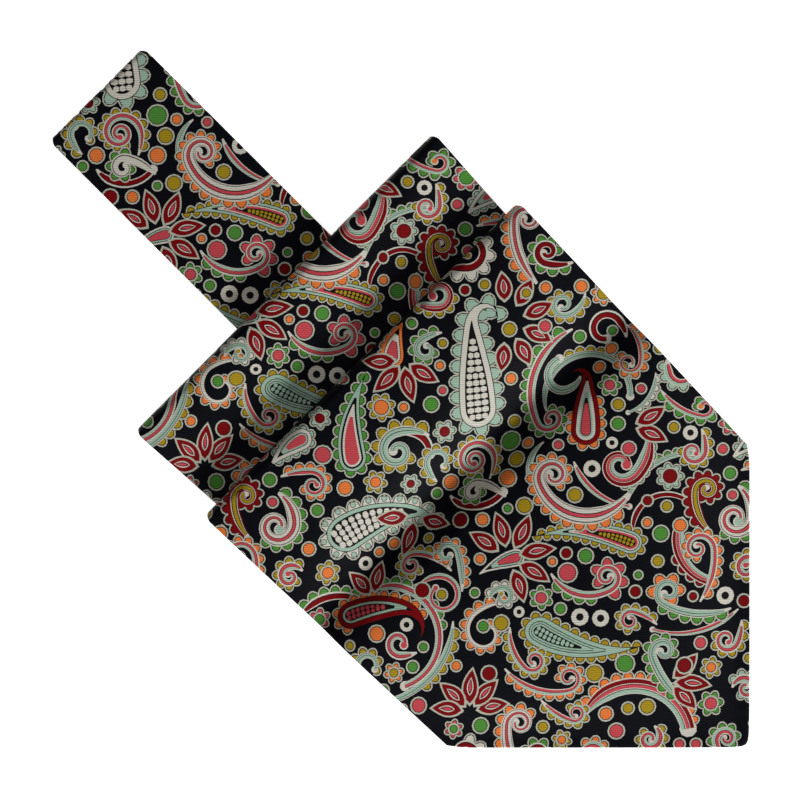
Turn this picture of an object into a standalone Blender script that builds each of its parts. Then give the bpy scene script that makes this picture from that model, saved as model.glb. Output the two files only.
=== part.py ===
"""An ascot scarf, folded and laid flat: the neckband runs out at the back, and the two wide
blades lie on it, each turned over on itself in a soft fold, the top one with its pointed end.

Length runs along Y: a distance s is measured from the neckband's folded end, at the back,
towards the point, at the front. X runs across and Z is up. The scarf lies on the plane z = 0.
"""

import math
from collections import namedtuple

import bmesh
import bpy

MM = 0.001

# Cloth: two layers of silk twill sewn face to face, turned and pressed
PLY = 1.2
CLEARANCE = 0.3
CORNER_RADIUS = 3.3

# Neckband
BAND_WIDTH = 48.0
BAND_LOOP = 2.0
BAND_HIDDEN_END = 174.5

# Under blade
UNDER_FOLD = 96.2
UNDER_FOLD_WIDTH = 152.4
UNDER_TAPER = 0.11
UNDER_END = 174.5

# Top blade
TOP_FOLD = 135.5
TOP_FOLD_WIDTH = 160.0
TOP_TAPER = 0.051
TOP_RETURN_END = 173.5
TIP = 334.3
TIP_ROUNDING = 1.8
SHOULDER = 257.4
SHOULDER_ROUNDED_FROM = 0.93
SHOULDER_ROUNDING = 1.3
DRAPE_START = 205.0
DRAPE_ROWS = 11

# The neckband's lift: full over the band, gone at the foot
LIFT_FULL = 26.0
LIFT_FOOT = 42.0

# Soft folds
FOLD_DEPTH = 3.0
CROWN_POWER = 2.2

# Hidden layers
HIDDEN_START = 175.5
HIDDEN_SIDE = 0.92
HIDDEN_REACH = 0.75
HIDDEN_PLIES = 3
HIDDEN_CLEARANCE = 0.45

SPAN = TIP - TIP_ROUNDING

# Height of a blade's upper face above the table, at the middle and at the side edges
Height = namedtuple("Height", "s middle side")
UNDER_HEIGHTS = (
    Height(96.0, 10.0, 6.7),
    Height(100.0, 10.3, 6.9),
    Height(105.5, 9.9, 6.5),
    Height(111.5, 8.6, 5.2),
    Height(118.0, 7.3, 3.9),
    Height(125.0, 6.7, 3.3),
    Height(135.0, 6.5, 3.1),
    Height(150.0, 6.5, 3.1),
    Height(175.0, 6.5, 3.1),
)
TOP_HEIGHTS = (
    Height(135.0, 14.6, 10.6),
    Height(139.5, 15.0, 10.8),
    Height(149.0, 14.9, 10.7),
    Height(159.0, 13.9, 9.8),
    Height(168.0, 12.2, 8.5),
    Height(174.0, 10.5, 7.4),
    Height(179.5, 8.4, 6.1),
    Height(184.5, 6.4, 4.8),
    Height(189.0, 5.1, 3.9),
    Height(193.0, 5.3, 4.0),
    Height(197.0, 7.7, 5.7),
    Height(201.0, 10.9, 7.9),
    Height(205.0, 12.8, 9.1),
    Height(212.0, 13.6, 9.4),
)
# The drape from there to the pointed end's edge, by the share of the way
Drape = namedtuple("Drape", "share middle side")
TOP_DRAPE = (
    Drape(0.0, 12.8, 9.1),
    Drape(0.08, 13.6, 9.3),
    Drape(0.2, 13.3, 8.6),
    Drape(0.42, 11.3, 6.4),
    Drape(0.65, 7.9, 4.2),
    Drape(0.83, 3.9, 2.2),
    Drape(0.94, 1.6, 1.3),
    Drape(1.0, 1.2, 1.2),
)

# A folded edge of the hidden layers: how far it draws in, by the share of its thickness
Rim = namedtuple("Rim", "part inset")
PLY_RIM = (Rim(0.2, 0.1), Rim(0.5, 0.0), Rim(0.8, 0.1), Rim(1.0, 0.9))
LOWEST_RIM = Rim(0.0, 0.5)

# Stations across each piece, as shares of its half width: closer where a blade steps down off
# the band, and at the shoulders
BAND_STATIONS = (0.0, 0.4, 0.8, 1.0)
BLADE_STATIONS = (0.0, 0.16, 0.31, 0.36, 0.42, 0.48, 0.54, 0.64, 0.76, 0.87, 0.93, 0.97, 1.0)
HIDDEN_STATIONS = (0.0, 0.25, 0.5, 0.7, 0.85, 1.0)

# Rows along each layer, past its fold: closer where it curves
BAND_ROWS = (12.0, 40.0, 70.0, 96.0, 122.0, 150.0, BAND_HIDDEN_END)
UNDER_RETURN_ROWS = (106.0, 120.0, 140.0, 160.0, UNDER_END)
UNDER_ROWS = (103.5, 107.5, 111.5, 115.5, 120.0, 125.0, 131.0, 138.0, 150.0, UNDER_END)
TOP_RETURN_ROWS = (145.0, 155.0, 165.0, TOP_RETURN_END)
TROUGH_ROWS = (179.0, 183.5, 187.5, 191.0, 194.0, 197.0, 199.5, 202.0, DRAPE_START)
TOP_ROWS = (144.0, 150.0, 156.0, 162.0, 168.0, 174.0, *TROUGH_ROWS)
HIDDEN_ROWS = (HIDDEN_START, *TROUGH_ROWS)
FOLD_STEPS = 8


def mirrored(stations):
    return [-share for share in reversed(stations[1:])] + list(stations)


def smooth_step(value, low, high):
    share = min(1.0, max(0.0, (value - low) / (high - low)))
    return share * share * (3.0 - 2.0 * share)


def read(table, at, column):
    """A smooth curve through one column of a table, read at a value of its first column."""
    keys = [row[0] for row in table]
    values = [getattr(row, column) for row in table]
    last = len(keys) - 1
    at = min(keys[-1], max(keys[0], at))
    k = max(i for i in range(last) if keys[i] <= at or i == 0)

    def slope(i):
        before, after = max(i - 1, 0), min(i + 1, last)
        return (values[after] - values[before]) / (keys[after] - keys[before])

    step = keys[k + 1] - keys[k]
    t = (at - keys[k]) / step
    return (
        (2 * t**3 - 3 * t**2 + 1) * values[k]
        + (t**3 - 2 * t**2 + t) * step * slope(k)
        + (3 * t**2 - 2 * t**3) * values[k + 1]
        + (t**3 - t**2) * step * slope(k + 1)
    )


def crown(share):
    """1 along the middle of a blade, falling to 0 at its side edges."""
    return 1.0 - min(1.0, abs(share)) ** CROWN_POWER


def between(middle, side, share):
    return side + (middle - side) * crown(share)


def rounded_corner(inset):
    """How far a panel's side draws in at this distance past its fold."""
    reach = max(0.0, CORNER_RADIUS - max(0.0, inset))
    return CORNER_RADIUS - math.sqrt(CORNER_RADIUS**2 - reach**2)


def band_half_width(s):
    return BAND_WIDTH / 2 - rounded_corner(s)


def under_half_width(s):
    width = UNDER_FOLD_WIDTH - UNDER_TAPER * max(0.0, s - UNDER_FOLD)
    return width / 2 - rounded_corner(s - UNDER_FOLD)


def top_half_width(s):
    width = TOP_FOLD_WIDTH - TOP_TAPER * max(0.0, min(s, SHOULDER) - TOP_FOLD)
    return width / 2 - rounded_corner(s - TOP_FOLD)


def point_edge(share):
    """Where the pointed end's edge lies: a right angle at the tip, a little rounded at the shoulders."""
    x = share * top_half_width(SHOULDER)
    past = max(0.0, abs(share) - SHOULDER_ROUNDED_FROM) / (1.0 - SHOULDER_ROUNDED_FROM)
    return TIP - math.hypot(x, TIP_ROUNDING) - SHOULDER_ROUNDING * past**2


def band_top():
    return PLY + BAND_LOOP


def lifted(x):
    """The height that the neckband gives to the cloth lying over it."""
    return (band_top() + CLEARANCE) * (1.0 - smooth_step(abs(x), LIFT_FULL, LIFT_FOOT))


def under_upper(s, share):
    return between(read(UNDER_HEIGHTS, s, "middle"), read(UNDER_HEIGHTS, s, "side"), share)


def top_upper(s, share):
    """The top blade's upper face, from its fold to the pointed end's edge."""
    if s <= DRAPE_START:
        return between(read(TOP_HEIGHTS, s, "middle"), read(TOP_HEIGHTS, s, "side"), share)
    part = (s - DRAPE_START) / (point_edge(share) - DRAPE_START)
    return between(read(TOP_DRAPE, part, "middle"), read(TOP_DRAPE, part, "side"), share)


def fold_arc(fold, low, high, depth=FOLD_DEPTH):
    """The turn of a fold, from its lower layer's height to its upper one's."""
    points = []
    for k in range(FOLD_STEPS + 1):
        turn = math.pi * k / FOLD_STEPS
        s = fold + PLY / 2 + depth * (1.0 - math.sin(turn))
        z = (low + high) / 2 - (high - low) / 2 * math.cos(turn)
        points.append((s, z))
    return points


def band_path(share):
    """The neckband, the same right across: doubled back over a small round loop."""
    low, high = PLY / 2, PLY / 2 + BAND_LOOP
    below = [(s, low) for s in reversed(BAND_ROWS)]
    return below + fold_arc(0.0, low, high, depth=BAND_LOOP / 2) + [(s, high) for s in BAND_ROWS]


def under_path(share):
    """The under blade's section: its lower layer, over the neckband, its fold and its upper layer."""

    def low(s):
        return PLY / 2 + lifted(share * under_half_width(s))

    def high(s):
        return under_upper(s, share) - PLY / 2

    turned = UNDER_FOLD + PLY / 2 + FOLD_DEPTH
    below = [(s, low(s)) for s in reversed(UNDER_RETURN_ROWS)]
    above = [(s, high(s)) for s in UNDER_ROWS]
    return below + fold_arc(UNDER_FOLD, low(turned), high(turned)) + above


def top_path(share):
    """The top blade's section: its lower layer, on the under blade, its fold and its upper layer."""

    def low(s):
        x = share * top_half_width(s)
        return under_upper(s, x / under_half_width(s)) + CLEARANCE + PLY / 2

    def high(s):
        return top_upper(s, share) - PLY / 2

    turned = TOP_FOLD + PLY / 2 + FOLD_DEPTH
    below = [(s, low(s)) for s in reversed(TOP_RETURN_ROWS)]
    drape = [DRAPE_START + part * (point_edge(share) - DRAPE_START) for part in drape_parts()]
    above = [(s, high(s)) for s in (*TOP_ROWS, *drape)]
    return below + fold_arc(TOP_FOLD, low(turned), high(turned)) + above


def drape_parts(reach=1.0):
    """Rows from the start of the drape to this share of the way to the pointed end's edge."""
    return [reach * k / DRAPE_ROWS for k in range(1, DRAPE_ROWS + 1)]


def offset_sides(path):
    """The two faces of a layer of cloth: the path moved out and in by half its thickness."""
    outer, inner = [], []
    for k, (s, z) in enumerate(path):
        before, after = path[max(k - 1, 0)], path[min(k + 1, len(path) - 1)]
        along, up = after[0] - before[0], after[1] - before[1]
        length = math.hypot(along, up)
        out_s, out_z = -up / length * PLY / 2, along / length * PLY / 2
        outer.append((s + out_s, z + out_z))
        inner.append((s - out_s, z - out_z))
    return outer, inner


def placed(mesh, s, x, z):
    return mesh.verts.new((x * MM, (SPAN / 2 - s) * MM, z * MM))


def quad_grid(mesh, rows):
    for first, second in zip(rows, rows[1:]):
        for k in range(len(first) - 1):
            mesh.faces.new((first[k], first[k + 1], second[k + 1], second[k]))


def finished(mesh, name, colour, roughness):
    """The closed mesh as an object, smooth but for its cut edges, in a plain cloth colour."""
    bmesh.ops.recalc_face_normals(mesh, faces=mesh.faces)
    data = bpy.data.meshes.new(name)
    mesh.to_mesh(data)
    mesh.free()
    data.shade_smooth()
    data.set_sharp_from_angle(angle=math.radians(50))
    material = bpy.data.materials.new(name + "_cloth")
    material.use_nodes = True
    shader = material.node_tree.nodes["Principled BSDF"]
    shader.inputs["Base Color"].default_value = (*colour, 1.0)
    shader.inputs["Roughness"].default_value = roughness
    shader.inputs["Metallic"].default_value = 0.0
    data.materials.append(material)
    part = bpy.data.objects.new(name, data)
    bpy.context.scene.collection.objects.link(part)
    return part


def folded_panel(name, path_at, half_width, stations, colour):
    """A panel of cloth turned over on itself: one section across it at each station."""
    mesh = bmesh.new()
    outer_rows, inner_rows = [], []
    for share in mirrored(stations):
        outer, inner = offset_sides(path_at(share))
        outer_rows.append([placed(mesh, s, share * half_width(s), z) for s, z in outer])
        inner_rows.append([placed(mesh, s, share * half_width(s), z) for s, z in inner])
    quad_grid(mesh, outer_rows)
    quad_grid(mesh, inner_rows)
    for end in (0, -1):
        quad_grid(mesh, [outer_rows[end], inner_rows[end]])
        quad_grid(mesh, [[row[end] for row in outer_rows], [row[end] for row in inner_rows]])
    return finished(mesh, name, colour, roughness=0.5)


def perimeter(rows):
    """The outline of a grid of points, once round."""
    front = rows[0]
    right = [row[-1] for row in rows[1:-1]]
    back = list(reversed(rows[-1]))
    left = [row[0] for row in reversed(rows[1:-1])]
    return front + right + back + left


def drawn_in(outline, inset):
    """An outline's points moved inwards by an inset."""
    moved = []
    for k, (s, x, z) in enumerate(outline):
        before, after = outline[k - 1], outline[(k + 1) % len(outline)]
        along, across = after[0] - before[0], after[1] - before[1]
        length = math.hypot(along, across)
        moved.append((s + across / length * inset, x - along / length * inset, z))
    return moved


def layer_levels():
    """Share of the height and inset, ply by ply, with a groove between each pair of plies."""
    levels = [LOWEST_RIM]
    for ply in range(HIDDEN_PLIES):
        for rim in PLY_RIM:
            levels.append(Rim((ply + rim.part) / HIDDEN_PLIES, rim.inset))
    return levels


def hidden_layers():
    """The layers folded away under the top blade, as one flat-bottomed pad with ply edges."""
    stations = [HIDDEN_SIDE * share for share in mirrored(HIDDEN_STATIONS)]

    def beneath(s, share):
        rise = (top_upper(s + 1.0, share) - top_upper(s - 1.0, share)) / 2.0
        down = PLY / 2 + (PLY / 2 + HIDDEN_CLEARANCE) * math.hypot(1.0, rise)
        return s, share * top_half_width(s), top_upper(s, share) - down

    grid = [[beneath(s, share) for share in stations] for s in HIDDEN_ROWS]
    for part in drape_parts(HIDDEN_REACH):
        ends = [DRAPE_START + part * (point_edge(share) - DRAPE_START) for share in stations]
        grid.append([beneath(s, share) for s, share in zip(ends, stations)])

    mesh = bmesh.new()
    outline = perimeter(grid)
    rings = []
    for level in layer_levels():
        ring = drawn_in(outline, level.inset)
        rings.append([placed(mesh, s, x, z * level.part) for s, x, z in ring])
    for ring, following in zip(rings, rings[1:]):
        quad_grid(mesh, [ring + ring[:1], following + following[:1]])
    mesh.faces.new(rings[0])

    rim = iter(rings[-1])
    top = [[None] * len(stations) for _ in grid]
    last_row, last_column = len(grid) - 1, len(stations) - 1
    for column in range(last_column + 1):
        top[0][column] = next(rim)
    for row in range(1, last_row):
        top[row][last_column] = next(rim)
    for column in range(last_column, -1, -1):
        top[last_row][column] = next(rim)
    for row in range(last_row - 1, 0, -1):
        top[row][0] = next(rim)
    for row in range(1, last_row):
        for column in range(1, last_column):
            top[row][column] = placed(mesh, *grid[row][column])
    quad_grid(mesh, top)
    return finished(mesh, "hidden_layers", (0.012, 0.013, 0.018), roughness=0.6)


def main():
    for part in list(bpy.data.objects):
        bpy.data.objects.remove(part)
    folded_panel("neckband", band_path, band_half_width, BAND_STATIONS, (0.10, 0.09, 0.09))
    folded_panel("under_blade", under_path, under_half_width, BLADE_STATIONS, (0.10, 0.085, 0.085))
    folded_panel("top_blade", top_path, top_half_width, BLADE_STATIONS, (0.11, 0.09, 0.09))
    hidden_layers()


main()
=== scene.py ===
"""An ascot scarf of printed silk, folded flat: a neckband doubled back, and two wide blades that
lie on it, each turned over on itself in a soft fold, the top one with its pointed end.

Cloth is worked out in millimetres, as part.py does it. A distance s runs from the neckband's
folded end to the point, x runs across, and z is the height above the table.
"""

import math
from collections import namedtuple

import bpy
import numpy as np
from mathutils.geometry import delaunay_2d_cdt
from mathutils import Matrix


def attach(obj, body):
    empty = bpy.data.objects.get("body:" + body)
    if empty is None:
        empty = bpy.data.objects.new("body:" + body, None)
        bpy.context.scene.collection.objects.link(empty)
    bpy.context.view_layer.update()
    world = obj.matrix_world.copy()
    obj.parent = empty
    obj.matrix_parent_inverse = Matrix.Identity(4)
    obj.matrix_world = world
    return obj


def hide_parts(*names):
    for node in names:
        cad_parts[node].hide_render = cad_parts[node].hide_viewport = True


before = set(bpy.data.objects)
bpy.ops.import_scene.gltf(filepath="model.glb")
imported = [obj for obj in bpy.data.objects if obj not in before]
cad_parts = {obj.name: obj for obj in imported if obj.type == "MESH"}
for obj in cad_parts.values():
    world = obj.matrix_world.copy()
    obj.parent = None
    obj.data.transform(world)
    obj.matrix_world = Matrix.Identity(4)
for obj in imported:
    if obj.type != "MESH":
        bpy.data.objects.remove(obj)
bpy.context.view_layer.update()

MM = 0.001
scene = bpy.context.scene


# The camera hangs straight above the folded scarf, which lies on a slant, its point to the lower
# right. A long lens from a metre and a half keeps the outline as flat as a catalogue picture.
CAMERA_HEIGHT = 1.508
CAMERA_OVER = (-0.0005, 0.0104)
CAMERA_TURN = -45.0
FIELD_WIDTH = 0.288
FIELD_LEVEL = 8 * MM
SENSOR = 36.0

camera_data = bpy.data.cameras.new("camera")
camera_data.sensor_width = SENSOR
camera_data.lens = SENSOR * (CAMERA_HEIGHT - FIELD_LEVEL) / FIELD_WIDTH
camera = bpy.data.objects.new("camera", camera_data)
camera.location = (*CAMERA_OVER, CAMERA_HEIGHT)
camera.rotation_euler = (0.0, 0.0, math.radians(CAMERA_TURN))
scene.collection.objects.link(camera)
scene.camera = camera


# The silk: a ribbed weave, nearly black, printed all over with pears, scrolls, fans of leaves and
# dots. Each shape is a patch of one ink, and most have a pale rim with a fine dark line inside it.
INKS = {
    "ground": (0.0020, 0.0023, 0.0046),
    "line": (0.006, 0.005, 0.005),
    "rim": (0.42, 0.42, 0.34),
    "cream": (0.56, 0.53, 0.46),
    "mint": (0.30, 0.43, 0.335),
    "green": (0.066, 0.23, 0.033),
    "mustard": (0.34, 0.23, 0.010),
    "orange": (0.70, 0.17, 0.036),
    "coral": (0.50, 0.058, 0.072),
    "red": (0.17, 0.002, 0.004),
}


def turned(points, angle):
    a = math.radians(angle)
    return points @ np.array([[math.cos(a), math.sin(a)], [-math.sin(a), math.cos(a)]])


def read_at(places, keys, columns):
    """Columns of numbers read between their keys."""
    return np.stack([np.interp(places, keys, columns[:, k]) for k in (0, 1)], -1)


def summed(steps):
    """The running total of some steps, from nothing."""
    return np.concatenate([[0.0], np.cumsum(steps)])


def lengths(points):
    """How far along a line each of its points is."""
    return summed(np.linalg.norm(np.diff(points, axis=0), axis=1))


LINE_STEPS = 400
ARM_STEPS = 100
WIND_POWER = 1.6


def spread(heading, steps, turn, reach):
    """Which points of a line to keep: as far apart as a step or a turn allows."""
    used = summed(np.abs(np.diff(heading)) / math.radians(turn) + steps / reach)
    even = np.linspace(0.0, used[-1], math.ceil(used[-1]) + 1)
    return np.searchsorted(used, even).clip(0, LINE_STEPS)


def drawn_line(length, sweep, curl, curl_from=0.45, turn=22.0, reach=3.2):
    """A line that sweeps evenly and then winds up: share of the way, points, left normals."""
    t = np.linspace(0.0, 1.0, LINE_STEPS + 1)
    late = np.clip((t - curl_from) / (1.0 - curl_from), 0.0, None) ** WIND_POWER
    heading = np.radians(sweep * t + curl * late)
    middle = (heading[1:] + heading[:-1]) / 2.0
    steps = np.stack([np.cos(middle), np.sin(middle)], 1) * length / LINE_STEPS
    points = np.concatenate([[[0.0, 0.0]], np.cumsum(steps, 0)])
    kept = spread(heading, length / LINE_STEPS, turn, reach)
    return t[kept], points[kept], np.stack([-np.sin(heading), np.cos(heading)], 1)[kept]


def band_between(left, right):
    return [np.array([left[k], left[k + 1], right[k + 1], right[k]]) for k in range(len(left) - 1)]


def disc(centre, radius, corners=12):
    a = np.arange(corners) / corners * 2.0 * math.pi
    return np.asarray(centre) + radius * np.stack([np.cos(a), np.sin(a)], 1)


def half_moon(centre, out, tall, wide, corners=7):
    a = np.linspace(0.0, math.pi, corners)
    side = np.array([out[1], -out[0]])
    return centre + np.outer(np.cos(a) * wide, side) + np.outer(np.sin(a) * tall, out)


Edging = namedtuple("Edging", "ink pitch tall first last", defaults=(4.4, 1.0, 0.04, 0.97))


# A lobe's three half-moons: how much taller and wider than the lobe each is, and its corners
LobeLayer = namedtuple("LobeLayer", "ink taller wider corners")
LOBE_LAYERS = (
    LobeLayer("rim", 0.72, 0.25, 7), LobeLayer("line", 0.2, -0.22, 6), LobeLayer("", -0.08, -0.5, 5)
)
LOBE_SUNK = 0.3
LEAST_LOBE = 1.9
RING_SHARE = 0.34


def lobes(edge, out, edging, shrink=1.0, ring=None):
    """Half-moon cells along an edge, each in a pale rim with a fine dark line."""
    along = lengths(edge)
    low, high = edging.first * along[-1], edging.last * along[-1]
    layers = ([], [], [])
    s, size = low, edging.pitch
    while s + size <= high + 0.2 * size:
        centre, away = read_at(s + size / 2.0, along, edge), read_at(s + size / 2.0, along, out)
        away = away / np.linalg.norm(away)
        base, r = centre - away * LOBE_SUNK, size / 2.0
        tall = r * edging.tall
        for shapes, layer in zip(layers, LOBE_LAYERS):
            moon = half_moon(base, away, tall + layer.taller, r + layer.wider, layer.corners)
            shapes.append((layer.ink or edging.ink, moon))
        if ring:
            middle = base + away * (tall * 0.5 + 0.15)
            layers[2].append(("line", disc(middle, RING_SHARE * r + 0.22, 8)))
            layers[2].append((ring, disc(middle, RING_SHARE * r, 8)))
        s += size
        size = max(edging.pitch * shrink ** ((s - low) / 10.0), LEAST_LOBE)
    return sum(layers, [])


FIRST_TURN = 300.0


def curled_line(arm, bend, eye, winding, core, turn=22.0, reach=3.2):
    """A line that comes along an arm and winds up into an eye: share of the way, points, left
    normals, and the share where its first turn ends. The eye's centre is the origin, and the
    arm reaches it heading along x."""
    angle = np.linspace(0.0, abs(math.radians(winding)), LINE_STEPS - ARM_STEPS + 1)
    way = math.copysign(1.0, winding)
    radius = eye * (core / eye) ** (angle / angle[-1])
    steps = np.concatenate([np.full(ARM_STEPS, arm / ARM_STEPS), radius[:-1] * np.diff(angle)])
    heading = math.radians(bend) * np.linspace(-1.0, 0.0, ARM_STEPS + 1)
    heading = np.concatenate([heading, way * angle[1:]])
    middle = (heading[1:] + heading[:-1]) / 2.0
    points = np.stack([np.cos(middle), np.sin(middle)], 1) * steps[:, None]
    points = np.concatenate([[[0.0, 0.0]], np.cumsum(points, 0)])
    pull = math.log(eye / core) / angle[-1]
    points -= points[ARM_STEPS] + np.array([pull, way]) * eye / (pull**2 + 1.0)
    length = summed(steps)
    kept = spread(heading, steps, turn, reach)
    first_turn = np.interp(math.radians(FIRST_TURN), angle, length[ARM_STEPS:]) / length[-1]
    left = np.stack([-np.sin(heading), np.cos(heading)], 1)
    return (length / length[-1])[kept], points[kept], left[kept], first_turn


SWELL_OVER = 0.25
KNOB_RIM = 0.5
TAPER_FROM = 0.4
LOBE_SHRINK = 0.94


def ribbon(t, points, out, width, stripes, edgings, taper, knob):
    """A striped ribbon along a line, with lobes down its outer side and a knob at its end."""
    swell = np.minimum(1.0, (t + 0.03) / SWELL_OVER) ** 0.7
    w = width * swell * (1.0 - (1.0 - taper) * np.clip((t - TAPER_FROM) / 0.6, 0.0, 1.0))
    shapes = []
    for edging in edgings:
        shapes += lobes(points + out * (w / 2.0)[:, None], out, edging, LOBE_SHRINK)

    def across(share):
        return points + out * (w * (share - 0.5))[:, None]

    shapes += [("cream", quad) for quad in band_between(across(0.0), across(1.0))]
    shapes.append(("cream", disc(points[-1], w[-1] / 2.0 + KNOB_RIM, 9)))
    for low, high, ink in stripes:
        shapes += [(ink, quad) for quad in band_between(across(low)[1:], across(high)[1:])]
    if knob != "cream":
        shapes.append((knob, disc(points[-1], w[-1] / 2.0, 8)))
    return shapes


def scroll(length, width, sweep, stripes, edgings=(), taper=0.55, knob="cream"):
    """A ribbon that sweeps round evenly."""
    t, points, left = drawn_line(length, sweep, 0.0)
    return ribbon(t, points, -left if sweep > 0 else left, width, stripes, edgings, taper, knob)


def curl(eye, winding, arm, bend, width, stripes, edgings=(), core=1.5, taper=0.6, knob="cream"):
    """A ribbon that winds up into an eye, with lobes round its first turn."""
    t, points, left, first_turn = curled_line(arm, bend, eye, winding, core)
    edgings = [e._replace(first=e.first * first_turn, last=e.last * first_turn) for e in edgings]
    out = -left if winding > 0 else left
    return ribbon(t, points, out, width, stripes, edgings, taper, knob)


NET_CELL = np.array([(1.0, -0.6), (1.0, 0.6), (0.0, 1.0), (-1.0, 0.6), (-1.0, -0.6), (0.0, -1.0)])
NET_THREAD = 0.13
LEAST_CELL = 0.42


def pear(length, radius, sweep, curl, layers, edgings=(), curl_from=0.5, net=None, ring=None):
    """A pear with lobes all round, nested layers of ink, and a net of cells at its heart."""
    head = radius / length
    way, fine, fine_left = drawn_line(length, sweep, curl, curl_from, 4.0, 0.5)
    cap = head * (1.0 - np.cos(np.linspace(0.0, math.pi / 2.0, 7)))
    body = np.linspace(head, 1.0, max(8, round(length * (1.0 - head) / 2.0)))
    t = np.concatenate([cap[:-1], body])
    points, left = read_at(t, way, fine), read_at(t, way, fine_left)
    rest = np.clip((t - head) / (1.0 - head), 0.0, 1.0)
    half = radius * np.where(
        t < head,
        np.sqrt(np.clip(1.0 - ((head - t) / head) ** 2, 0.0, 1.0)),
        (0.5 * (1.0 + np.cos(np.pi * rest))) ** 0.85,
    )
    swollen = left * half[:, None]
    edge = np.concatenate([(points + swollen)[::-1], (points - swollen)[1:]])
    along = np.roll(edge, -1, 0) - np.roll(edge, 1, 0)
    along[0], along[-1] = edge[1] - edge[0], edge[-1] - edge[-2]
    along /= np.maximum(np.linalg.norm(along, axis=1, keepdims=True), 1e-9)
    out = np.stack([-along[:, 1], along[:, 0]], 1)
    if np.dot(out[len(t) - 1], points[6] - edge[len(t) - 1]) > 0.0:
        out = -out
    shapes = []
    for edging in edgings:
        shapes += lobes(edge, out, edging, ring=ring)
    depth = 0.0
    for ink, thick in layers:
        inner = edge - out * depth
        keep = len(t) - np.argmax(((half > depth * 1.02) | (t < head))[::-1])
        one, other = inner[: len(t)][::-1][:keep], inner[len(t) - 1 :][:keep]
        shapes += [(ink, quad) for quad in band_between(one, other)]
        depth += thick
    if net:
        ink, pitch = net
        s = depth + pitch * 0.6
        while s < length:
            free = np.interp(s, t * length, half) - depth
            if free > LEAST_CELL * pitch:
                centre, away = read_at(s, t * length, points), read_at(s, t * length, left)
                onward = np.array([away[1], -away[0]])
                cells = max(1, round(2.0 * free / pitch))
                size = 2.0 * free / cells
                cell = np.outer(NET_CELL[:, 0] * (size / 2 - NET_THREAD), away)
                cell = cell + np.outer(NET_CELL[:, 1] * (pitch / 2 - NET_THREAD), onward)
                for k in range(cells):
                    shapes.append((ink, centre + away * (size * (k + 0.5) - free) + cell))
            s += pitch
    return shapes


def leaf(length, width, bend):
    """A dark red leaf in a pale rim, with a coral heart."""
    way, points, left = drawn_line(length, bend, 0.0, turn=2.0)
    t = np.linspace(0.0, 1.0, 9)
    shapes = []
    for share, wide, ink in (
        (1.0, 1.0, "rim"),
        (1.0 - 2.2 / length, 1.0 - 1.2 / width, "red"),
        (0.46, 0.38, "cream"),
        (0.40, 0.25, "line"),
        (0.30, 0.16, "coral"),
    ):
        at = 0.5 + (t - 0.5) * share
        p, n = read_at(at, way, points), read_at(at, way, left)
        h = (width / 2.0 * wide * np.sin(np.pi * t**0.85) ** 0.9)[:, None]
        shapes += [(ink, quad) for quad in band_between(p + n * h, p - n * h)]
    return shapes


LEAF_BEND = 14.0


def fan(count, angle, gap=2.2, length=14.5, width=6.4):
    """Leaves that spread over an angle, the outer ones a little shorter."""
    shapes = []
    for k in range(count):
        side = k / (count - 1) - 0.5
        size = length * (1.0 - 0.2 * abs(side))
        for ink, points in leaf(size, width, LEAF_BEND if side > 0 else -LEAF_BEND):
            shapes.append((ink, turned(points + [gap, 0.0], angle * side)))
    return shapes


DOT_RIM = 0.62
DOT_LINE = 0.28


def dot(radius, ink):
    if ink == "ring":
        return [("cream", disc((0, 0), radius)), ("line", disc((0, 0), radius * 0.45, 8))]
    heart = disc((0, 0), radius - (DOT_RIM + DOT_LINE))
    return [("rim", disc((0, 0), radius)), ("line", disc((0, 0), radius - DOT_RIM)), (ink, heart)]


# Stripes along a ribbon, as shares of its width from the inner side to the lobes
CORAL_CREAM = ((0.08, 0.30, "mint"), (0.36, 0.42, "line"), (0.42, 0.72, "coral"),
               (0.72, 0.80, "line"))
CORAL = ((0.0, 0.08, "line"), (0.20, 0.52, "coral"), (0.52, 0.61, "line"), (0.66, 0.92, "mint"))
MINT = ((0.10, 0.46, "mint"), (0.46, 0.54, "line"), (0.54, 0.80, "mint"), (0.80, 0.88, "line"))
CREAM = ((0.70, 0.82, "line"),)
RED = ((0.12, 0.66, "red"), (0.66, 0.78, "line"))
BROAD = ((0.06, 0.10, "line"), (0.34, 0.40, "line"), (0.40, 0.58, "coral"), (0.58, 0.63, "line"),
         (0.84, 0.90, "line"))
BROAD_RED = ((0.05, 0.28, "mint"), (0.28, 0.33, "line"), (0.38, 0.58, "coral"), (0.58, 0.62, "line"),
             (0.66, 0.92, "red"))
RED_MUSTARD = ((0.0, 0.1, "red"), (0.16, 0.24, "line"), (0.24, 0.52, "mustard"), (0.52, 0.60, "line"),
               (0.68, 1.0, "red"))

THIN = ("line", .25)
LINE = ("line", .3)

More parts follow.
